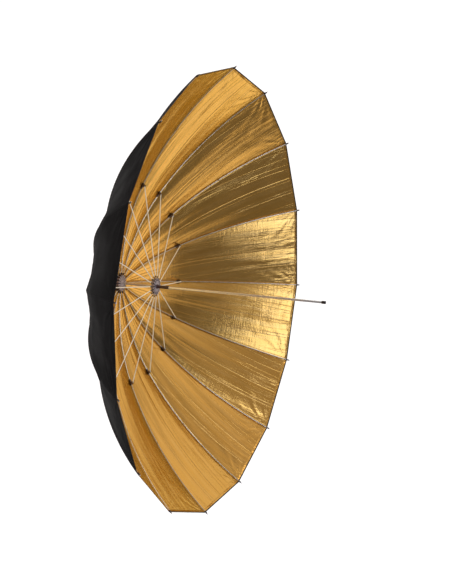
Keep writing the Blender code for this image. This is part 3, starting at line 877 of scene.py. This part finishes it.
def rib_fittings():
    """What is fixed to each inner rib: its crimped socket and eye at the crown, its bracket and pins.

    A black pad lies between the bracket and the cloth.
    """
    socket, bracket, pins, pad = range(4)
    for rib, tag, side in each_rib():
        build = Builder()
        origin, along, out, _ = frame_on(HINGE, INNER[1][0], rib)

        def on_rod(lengths):
            """Points on the rod near the crown, which curves down a little from its eye."""
            return [origin + d * along - (d / 0.024) ** 2 * 0.9 * MM * out for d in lengths]

        at = np.array([7.0, 8.0, 9.0, 13.6, 14.6]) * MM
        radii = np.array([1.5, 2.2, 2.45, 2.45, 1.9]) * MM
        build.rings(tube_rings(on_rod(at), radii, 14, side), socket)
        crimp = [on_rod([10.6 * MM])[0] + e * MM * along for e in (-1.2, -0.5, 0.5, 1.2)]
        radii = np.array([2.5, 2.75, 2.75, 2.5]) * MM
        build.rings(tube_rings(crimp, radii, 14, side), socket)
        eye = eye_rings(origin, side, out, 1.1 * MM, 3.4 * MM, 1.2 * MM)
        build.rings(eye, socket, closed=True)
        block(build, (origin, along, out, side), (2.6 * MM, -1.5 * MM, -1.2 * MM),
              (9 * MM, 1.5 * MM, 1.2 * MM), socket)
        # At the joint, the pad over the rod and beside it.
        axes = frame_on(JOINT, JOINT_FALL, rib)
        block(build, axes, (-14.4 * MM, 1.75 * MM, -3.4 * MM), (7.4 * MM, 2.45 * MM, 3.4 * MM), pad)
        for low in (-3.65 * MM, 3.15 * MM):
            block(build, axes, (-14.4 * MM, 0.2 * MM, low), (7.4 * MM, 2.45 * MM, low + 0.5 * MM),
                  pad, 0.1 * MM)
        # The bracket, a channel round the rod with two cheeks for the stretcher, and its pins.
        for sign in (-1, 1):
            low, high = sorted((sign * 2.25 * MM, sign * 3.1 * MM))
            block(build, axes, (-14 * MM, -2.4 * MM, low), (7 * MM, 1.8 * MM, high), bracket)
            block(build, axes, (-4.2 * MM, -9.6 * MM, low), (4.2 * MM, -2.2 * MM, high), bracket)
        block(build, axes, (-13 * MM, -2.5 * MM, -2.4 * MM), (-5.6 * MM, -1.8 * MM, 2.4 * MM), bracket)
        origin, along, out, _ = axes
        hinge_pin = in_rib_plane(rib, PIVOT)[0]
        build.rings(pin_rings(hinge_pin, side, out, 1.15 * MM, 3.3 * MM), pins)
        for d in (-11 * MM, 4.5 * MM):
            build.rings(pin_rings(origin + d * along, side, out, 0.8 * MM, 3.2 * MM), pins)
        obj = build.object("rib_fittings_" + tag, (SOCKET, BRACKET, WIRE, PAD))
        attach(obj, "rib_" + tag)


def rib_tips():
    """The moulded cap that the gore's corner is sewn to, and the metal point through it."""
    cap, point = range(2)
    fall = OUTER[1][-1]
    for rib, tag, side in each_rib():
        origin, along, out, _ = frame_on(TIP, fall, rib)
        build = Builder()
        at = np.array([-5.0, -4.4, -3.0, 4.6, 5.6, 6.0]) * MM
        radii = np.array([1.9, 2.3, 2.55, 2.65, 2.4, 1.7]) * MM
        build.rings(tube_rings([origin + d * along for d in at], radii, 16, side), cap)
        at = np.array([5.6, 6.2, 9.6, 10.6, 11.0]) * MM
        radii = np.array([1.3, 1.4, 1.35, 1.15, 0.7]) * MM
        build.rings(tube_rings([origin + d * along for d in at], radii, 14, side), point)
        obj = build.object("rib_tip_" + tag, (TIP_BLACK, TIP_METAL))
        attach(obj, "rib_end_" + tag)


def rib_ties():
    """Thread that ties the lining to the rod nearly halfway from joint to tip, and its loose ends."""
    place = int(0.44 * (len(OUTER[0]) - 1))
    for rib, tag, side in each_rib():
        build = Builder()
        origin, along, out, _ = frame_on(OUTER[0][place], OUTER[1][place], rib)
        for turn in range(4):
            centre = origin + (turn - 1.5) * 0.75 * MM * along
            rings = []
            for angle in np.linspace(math.pi * 0.48, math.pi * 1.52, 12):
                spoke = math.cos(angle) * out + math.sin(angle) * side
                loop = [
                    centre + 2.0 * MM * spoke
                    + 0.36 * MM * (math.cos(a) * spoke + math.sin(a) * along)
                    for a in (0, 1.05, 2.09, 3.14, 4.19, 5.24)
                ]
                rings.append(np.array(loop))
            build.rings(rings)
        for sign in (-1, 1):
            tail = [
                origin - 2.3 * MM * out + sign * d * side * 0.8 - (d * d * 70) * out + sign * d * along
                for d in np.linspace(0, 5 * MM, 6)
            ]
            build.rings(tube_rings(tail, 0.3 * MM, 6, np.cross(side, out)))
        obj = build.object("rib_tie_" + tag, (THREAD,))
        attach(obj, "rib_end_" + tag)


def stretchers():
    """Flattened eye at each end of a thin steel rod."""
    rod, socket = range(2)
    reach = RUNNER_HINGE - PIVOT
    length = np.hypot(*reach)
    fall = math.atan2(-reach[1], reach[0])
    for rib, tag, side in each_rib():
        start, along, out, _ = frame_on(PIVOT, fall, rib)
        build = Builder()
        at = np.array([3.0, 6.0, 10.0, length / MM - 12, length / MM - 8, length / MM - 4]) * MM
        radii = np.array([1.2, 1.45, 1.6, 1.6, 1.5, 1.3]) * MM
        build.rings(tube_rings([start + d * along for d in at], radii, 12, side), rod)
        end = start + length * along
        outer_eye = eye_rings(start, side, out, 1.2 * MM, 2.7 * MM, 1.1 * MM)
        inner_eye = eye_rings(end, side, out, 1.1 * MM, 3.4 * MM, 1.15 * MM)
        build.rings(outer_eye, rod, closed=True)
        build.rings(inner_eye, socket, closed=True)
        for point, inwards, index in ((start, along, rod), (end, -along, socket)):
            block(build, (point, inwards, out, side), (2.3 * MM, -1.4 * MM, -1.05 * MM),
                  (9 * MM, 1.4 * MM, 1.05 * MM), index)
        crimp = [start + (length - d) * along for d in (15 * MM, 14 * MM, 9 * MM, 8 * MM)]
        build.rings(tube_rings(crimp, np.array([1.7, 1.95, 2.05, 1.7]) * MM, 12, side), socket)
        obj = build.object("stretcher_arm_" + tag, (STEEL, SOCKET))
        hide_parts("stretcher_" + tag)
        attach(obj, "stretcher_" + tag)


# ---------------------------------------------------------------- shaft, rings, runner, crown


def heights(node):
    """The lowest and highest y of a node."""
    low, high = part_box(node)
    return low.y, high.y


def shaft():
    """The chromed tube, with the catch's slot as a thin black inlay."""
    y0, y1 = heights("shaft_tube")
    build = Builder()
    bore, outside = 3.2 * MM, 4 * MM
    outline = [
        (bore, y0), (3.8 * MM, y0), (outside, y0 + 0.2 * MM),
        (outside, y1 - 0.2 * MM), (3.8 * MM, y1), (bore, y1),
    ]
    build.rings(lathe_rings(outline, 48), closed=True)
    slot_start, slot_end = heights("spring_catch")
    away, across = np.array([0, 0, -1.0]), np.array([1.0, 0, 0])
    axes = (np.array([0, slot_start, -outside]), Y_AXIS, away, across)
    block(build, axes, (6 * MM, -0.6 * MM, -1.1 * MM),
          (slot_end - slot_start + 1 * MM, 0.05 * MM, 1.1 * MM), 1, bevel=0.04 * MM)
    obj = build.object("shaft_chrome", (CHROME, PLASTIC))
    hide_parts("shaft_tube")
    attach(obj, "root")


def turned_piece(name, node, outline, mat, body, steps=64):
    """A piece turned about the shaft, in place of a CAD node."""
    build = Builder()
    build.rings(lathe_rings(outline, steps), closed=True)
    obj = build.object(name, (mat,), sharp=30)
    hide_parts(node)
    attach(obj, body)


def fittings():
    """Turned pieces on the shaft, drawn again with rounded edges and grip rings."""
    _, y1 = heights("shaft_end_cap")
    turned_piece("end_plug", "shaft_end_cap", [
        (0.02 * MM, 0), (3.9 * MM, 0), (4.5 * MM, 0.25 * MM), (5 * MM, 0.9 * MM),
        (5 * MM, y1 - 1 * MM), (4.75 * MM, y1 - 0.2 * MM), (4.1 * MM, y1),
        (4.1 * MM, 2.7 * MM), (0.02 * MM, 2.7 * MM),
    ], PLASTIC, "root")
    y0, y1 = heights("runner_sleeve")
    grip = []
    for k in range(9):
        base = y0 + 1.5 * MM + k * 2.8 * MM
        grip += [(5.7 * MM, base), (5.7 * MM, base + 1.6 * MM), (5.2 * MM, base + 1.9 * MM),
                 (5.2 * MM, base + 2.5 * MM)]
    seat = RUNNER_HINGE[1]
    turned_piece("runner_grip", "runner_sleeve", [
        (4.25 * MM, y0), (5.1 * MM, y0), (5.5 * MM, y0 + 0.4 * MM), *grip,
        (5.5 * MM, y0 + 27 * MM), (5.2 * MM, y0 + 29 * MM), (5.2 * MM, seat - 8 * MM),
        (7.4 * MM, seat - 7.4 * MM), (8 * MM, seat - 6.8 * MM), (8 * MM, seat - 5.2 * MM),
        (7.6 * MM, seat - 4.8 * MM), (5.4 * MM, seat - 4.8 * MM), (5.4 * MM, seat + 4.8 * MM),
        (7.6 * MM, seat + 4.8 * MM), (8 * MM, seat + 5.2 * MM), (8 * MM, seat + 6.2 * MM),
        (7.4 * MM, y1), (4.25 * MM, y1),
    ], SLEEVE, "runner")
    y0, y1 = heights("crown_washer")
    turned_piece("crown_plate", "crown_washer", [
        (4.8 * MM, y0), (21.6 * MM, y0), (22 * MM, y0 + 0.4 * MM), (21.6 * MM, y1 - 0.35 * MM),
        (19.5 * MM, y1), (4.8 * MM, y1),
    ], PLASTIC, "root", 96)
    y0, y1 = heights("top_cap")
    dome = [(9 * MM * math.cos(a), y0 + 6 * MM + (y1 - y0 - 6 * MM) * math.sin(a))
            for a in np.linspace(0, math.pi / 2 * 0.995, 14)]
    turned_piece("crown_cap", "top_cap", [
        (4.3 * MM, y0), (8.7 * MM, y0), (9 * MM, y0 + 0.4 * MM), *dome,
        (0.02 * MM, y1 - 5.7 * MM), (4.3 * MM, y1 - 5.7 * MM),
    ], PLASTIC, "root")


def repaint(node, mat, bevel=0.0):
    """Gives a CAD node that is drawn as it is its material and rounded edges."""
    obj = frame["nodes"][node]
    obj.data.materials.clear()
    obj.data.materials.append(mat)
    if bevel:
        made = obj.modifiers.new("edge", "BEVEL")
        made.width, made.segments, made.limit_method = bevel, 2, "ANGLE"
        made.angle_limit = math.radians(40)
        made.harden_normals = False


def carried_over():
    """The CAD nodes that are drawn as they are."""
    for ring in ("crown_ring", "runner_ring"):
        repaint(ring, RING, 0.25 * MM)
    for wire in ("crown_wire", "runner_wire", "catch_pin"):
        repaint(wire, WIRE)
    repaint("spring_catch", CATCH, 0.12 * MM)


# ---------------------------------------------------------------- floor, light, camera


CAMERA_PLACE = (-4.071, -1.4305, 0.992)
CAMERA_VIEW = (0.894, 0.392, -0.217)
CAMERA_RIGHT = (0.4015, -0.916, 0)
CAMERA_LENS = 83.69
TO_BACKDROP = (0.93, 0.37, 0.0)
TO_CEILING = (0.1, -0.35, 0.94)
# Brightness before the bowl, behind it, overhead, at its sides and in the strip above the floor.
ROOM, BACKDROP, CEILING, SIDES, HORIZON = 0.12, 0.84, 0.34, 0.52, 1.03
BACKDROP_COLOUR = (1.04, 1.0, 0.985)
FLOOR_LEVEL, FLOOR_REACH = -1.75, 90.0
# How strongly the floor glows before the bowl and under the backdrop: painted light.
FLOOR_GLOW_FRONT, FLOOR_GLOW_BACK = 0.015, 0.84


def camera():
    """The photograph's viewpoint."""
    data = bpy.data.cameras.new("camera")
    obj = bpy.data.objects.new("camera", data)
    bpy.context.scene.collection.objects.link(obj)
    back = -Vector(CAMERA_VIEW).normalized()
    up = back.cross(Vector(CAMERA_RIGHT).normalized()).normalized()
    right = up.cross(back).normalized()
    turn = Matrix((right, up, back)).transposed().to_4x4()
    obj.matrix_world = Matrix.Translation(CAMERA_PLACE) @ turn
    data.sensor_width = 36
    data.lens = CAMERA_LENS
    bpy.context.scene.camera = obj


def world():
    """A white studio: a bright, slightly warm backdrop behind the bowl and a dimmer room before it."""
    n = Nodes(bpy.data.worlds.new("studio"), "Background")
    bpy.context.scene.world = n.made
    place = n.new("TexCoord").outputs["Generated"]

    def glow(direction, low, high, dim, bright):
        """Brightness that rises from dim to bright towards a direction."""
        towards = n.dot(place, tuple(Vector(direction).normalized()))
        return n.range(towards, low, high, dim, bright)

    level = glow(TO_BACKDROP, -0.08, 0.55, ROOM, BACKDROP)
    for more in (
        glow(TO_CEILING, 0.22, 0.62, 0.0, CEILING),
        glow(TO_BACKDROP, 0.90, 0.97, 0.0, HORIZON),
        glow(TO_BACKDROP, -0.09, 0.0, 0.0, SIDES),
    ):
        level = n.math("MAXIMUM", level, more)
    n.set(Strength=level, Color=(*BACKDROP_COLOUR, 1))


def floor():
    """A pale floor with painted light and shade: it glows most under the backdrop, and its colour is
    darker towards the front.
    """
    n = Nodes(bpy.data.materials.new("pale_floor"))
    place = n.new("TexCoord").outputs["Object"]
    far = n.dot(place, TO_BACKDROP)
    n.set(
        # Painted shade: the floor's colour is darker towards the front.
        Base_Color=n.mix(
            n.range(far, 0.6, 1.75),
            n.mix(n.noise(place, 0.6), (0.20, 0.20, 0.20), (0.22, 0.22, 0.22)),
            (0.52, 0.52, 0.52),
        ),
        Roughness=0.9,
        # Painted light: the floor glows, most under the backdrop.
        Emission_Color=(*BACKDROP_COLOUR, 1),
        Emission_Strength=n.range(far, 0.6, 1.75, FLOOR_GLOW_FRONT, FLOOR_GLOW_BACK),
    )
    corners = [
        (x * FLOOR_REACH, y * FLOOR_REACH, FLOOR_LEVEL) for x, y in ((-1, -1), (1, -1), (1, 1), (-1, 1))
    ]
    new_object("floor", corners, [(0, 1, 2, 3)], [n.made], smooth=False)


def area_light(name, azimuth, elevation, distance, width, height, radiance, colour=(1, 1, 1)):
    """A soft box aimed at the bowl, at an azimuth from -Y towards +X and an elevation."""
    a, e = math.radians(azimuth), math.radians(elevation)
    away = Vector((math.sin(a) * math.cos(e), -math.cos(a) * math.cos(e), math.sin(e)))
    data = bpy.data.lights.new(name, "AREA")
    data.shape, data.size, data.size_y = "RECTANGLE", width, height
    data.energy, data.color = math.pi * width * height * radiance, colour
    obj = bpy.data.objects.new(name, data)
    obj.matrix_world = (
        Matrix.Translation(Vector((0, 0.4, 0)) + away * distance)
        @ away.to_track_quat("Z", "Y").to_matrix().to_4x4()
    )
    bpy.context.scene.collection.objects.link(obj)


def lights():
    """A cool soft box before the bowl and a white one over it."""
    area_light("front_box", -25, 6, 4.0, 2.4, 2.8, 1.75, (0.98, 1.26, 2.0))
    area_light("overhead", 20, 80, 4.0, 1.4, 3.0, 2.2)


def main():
    camera()
    canopy()
    rib_rods()
    rib_fittings()
    rib_tips()
    rib_ties()
    stretchers()
    shaft()
    fittings()
    carried_over()
    world()
    floor()
    lights()
    bpy.context.scene.view_settings.view_transform = "Standard"


main()
